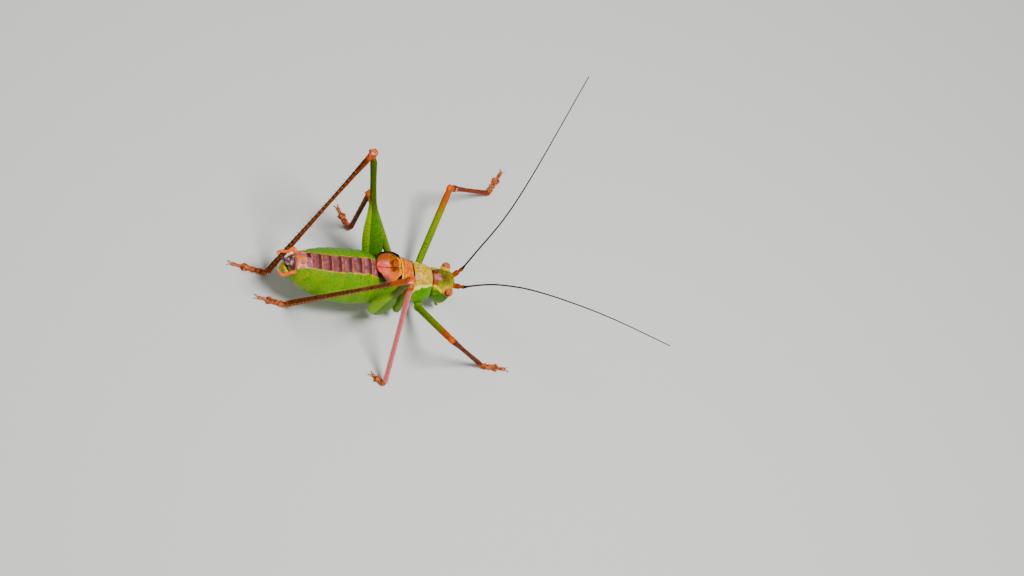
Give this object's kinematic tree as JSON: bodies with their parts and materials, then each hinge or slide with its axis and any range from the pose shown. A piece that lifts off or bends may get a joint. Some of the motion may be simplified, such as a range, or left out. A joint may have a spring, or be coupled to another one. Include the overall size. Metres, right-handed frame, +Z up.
{
  "type": "speckled bush-cricket",
  "caption": "Male speckled bush-cricket, a long-horned grasshopper, standing with its hind knees raised high and its long thin feelers reaching forward and up.",
  "frame": {"origin": "on the floor, under the middle of the insect's bounding box", "axes": "+X forward along the body to the head, +Y to the insect's left, +Z up; the soles are at z = 0"},
  "size_m": [0.0252, 0.019, 0.0206],
  "materials": {
    "green_cuticle": "waxy, finely dotted",
    "purple_cuticle": "waxy, dark dots",
    "shield": "waxy, orange behind and yellow-green in front",
    "wing_case": "leathery, brown marks and pale veins",
    "yellow_green": "satin",
    "coral": "satin",
    "eye": "glossy",
    "feeler": "finely ringed",
    "leg_green": "satin, dark dots",
    "leg_orange": "satin",
    "rust": "satin, dark edges"
  },
  "bodies": {
    "root": {"abdomen": "green_cuticle", "tail_tergite": "purple_cuticle", "thorax": "green_cuticle", "pronotum": "shield", "tegmen_left": "wing_case", "tegmen_right": "wing_case", "head": "green_cuticle", "mouthparts": "yellow_green", "subgenital_plate": "yellow_green", "cercus_left": "coral", "cercus_right": "coral", "eye_left": "eye", "antenna_left_base": "coral", "antenna_left_lower": "feeler", "antenna_left_upper": "feeler", "palp_left": "yellow_green", "eye_right": "eye", "antenna_right_base": "coral", "antenna_right_lower": "feeler", "antenna_right_upper": "feeler", "palp_right": "yellow_green", "fore_leg_left_coxa": "green_cuticle", "fore_leg_left_femur": "leg_green", "fore_leg_left_tibia": "leg_orange", "fore_leg_left_tarsus": "leg_orange", "fore_leg_right_coxa": "green_cuticle", "fore_leg_right_femur": "leg_green", "fore_leg_right_tibia": "leg_orange", "fore_leg_right_tarsus": "leg_orange", "mid_leg_left_coxa": "green_cuticle", "mid_leg_left_femur": "leg_green", "mid_leg_left_tibia": "leg_orange", "mid_leg_left_tarsus": "leg_orange", "mid_leg_right_coxa": "green_cuticle", "mid_leg_right_femur": "leg_green", "mid_leg_right_tibia": "leg_orange", "mid_leg_right_tarsus": "leg_orange", "hind_leg_left_coxa": "green_cuticle", "hind_leg_left_femur": "green_cuticle", "hind_leg_left_tibia": "rust", "hind_leg_left_tarsus": "leg_orange", "hind_leg_right_coxa": "green_cuticle", "hind_leg_right_femur": "green_cuticle", "hind_leg_right_tibia": "rust", "hind_leg_right_tarsus": "leg_orange"}
  },
  "joints": []
}
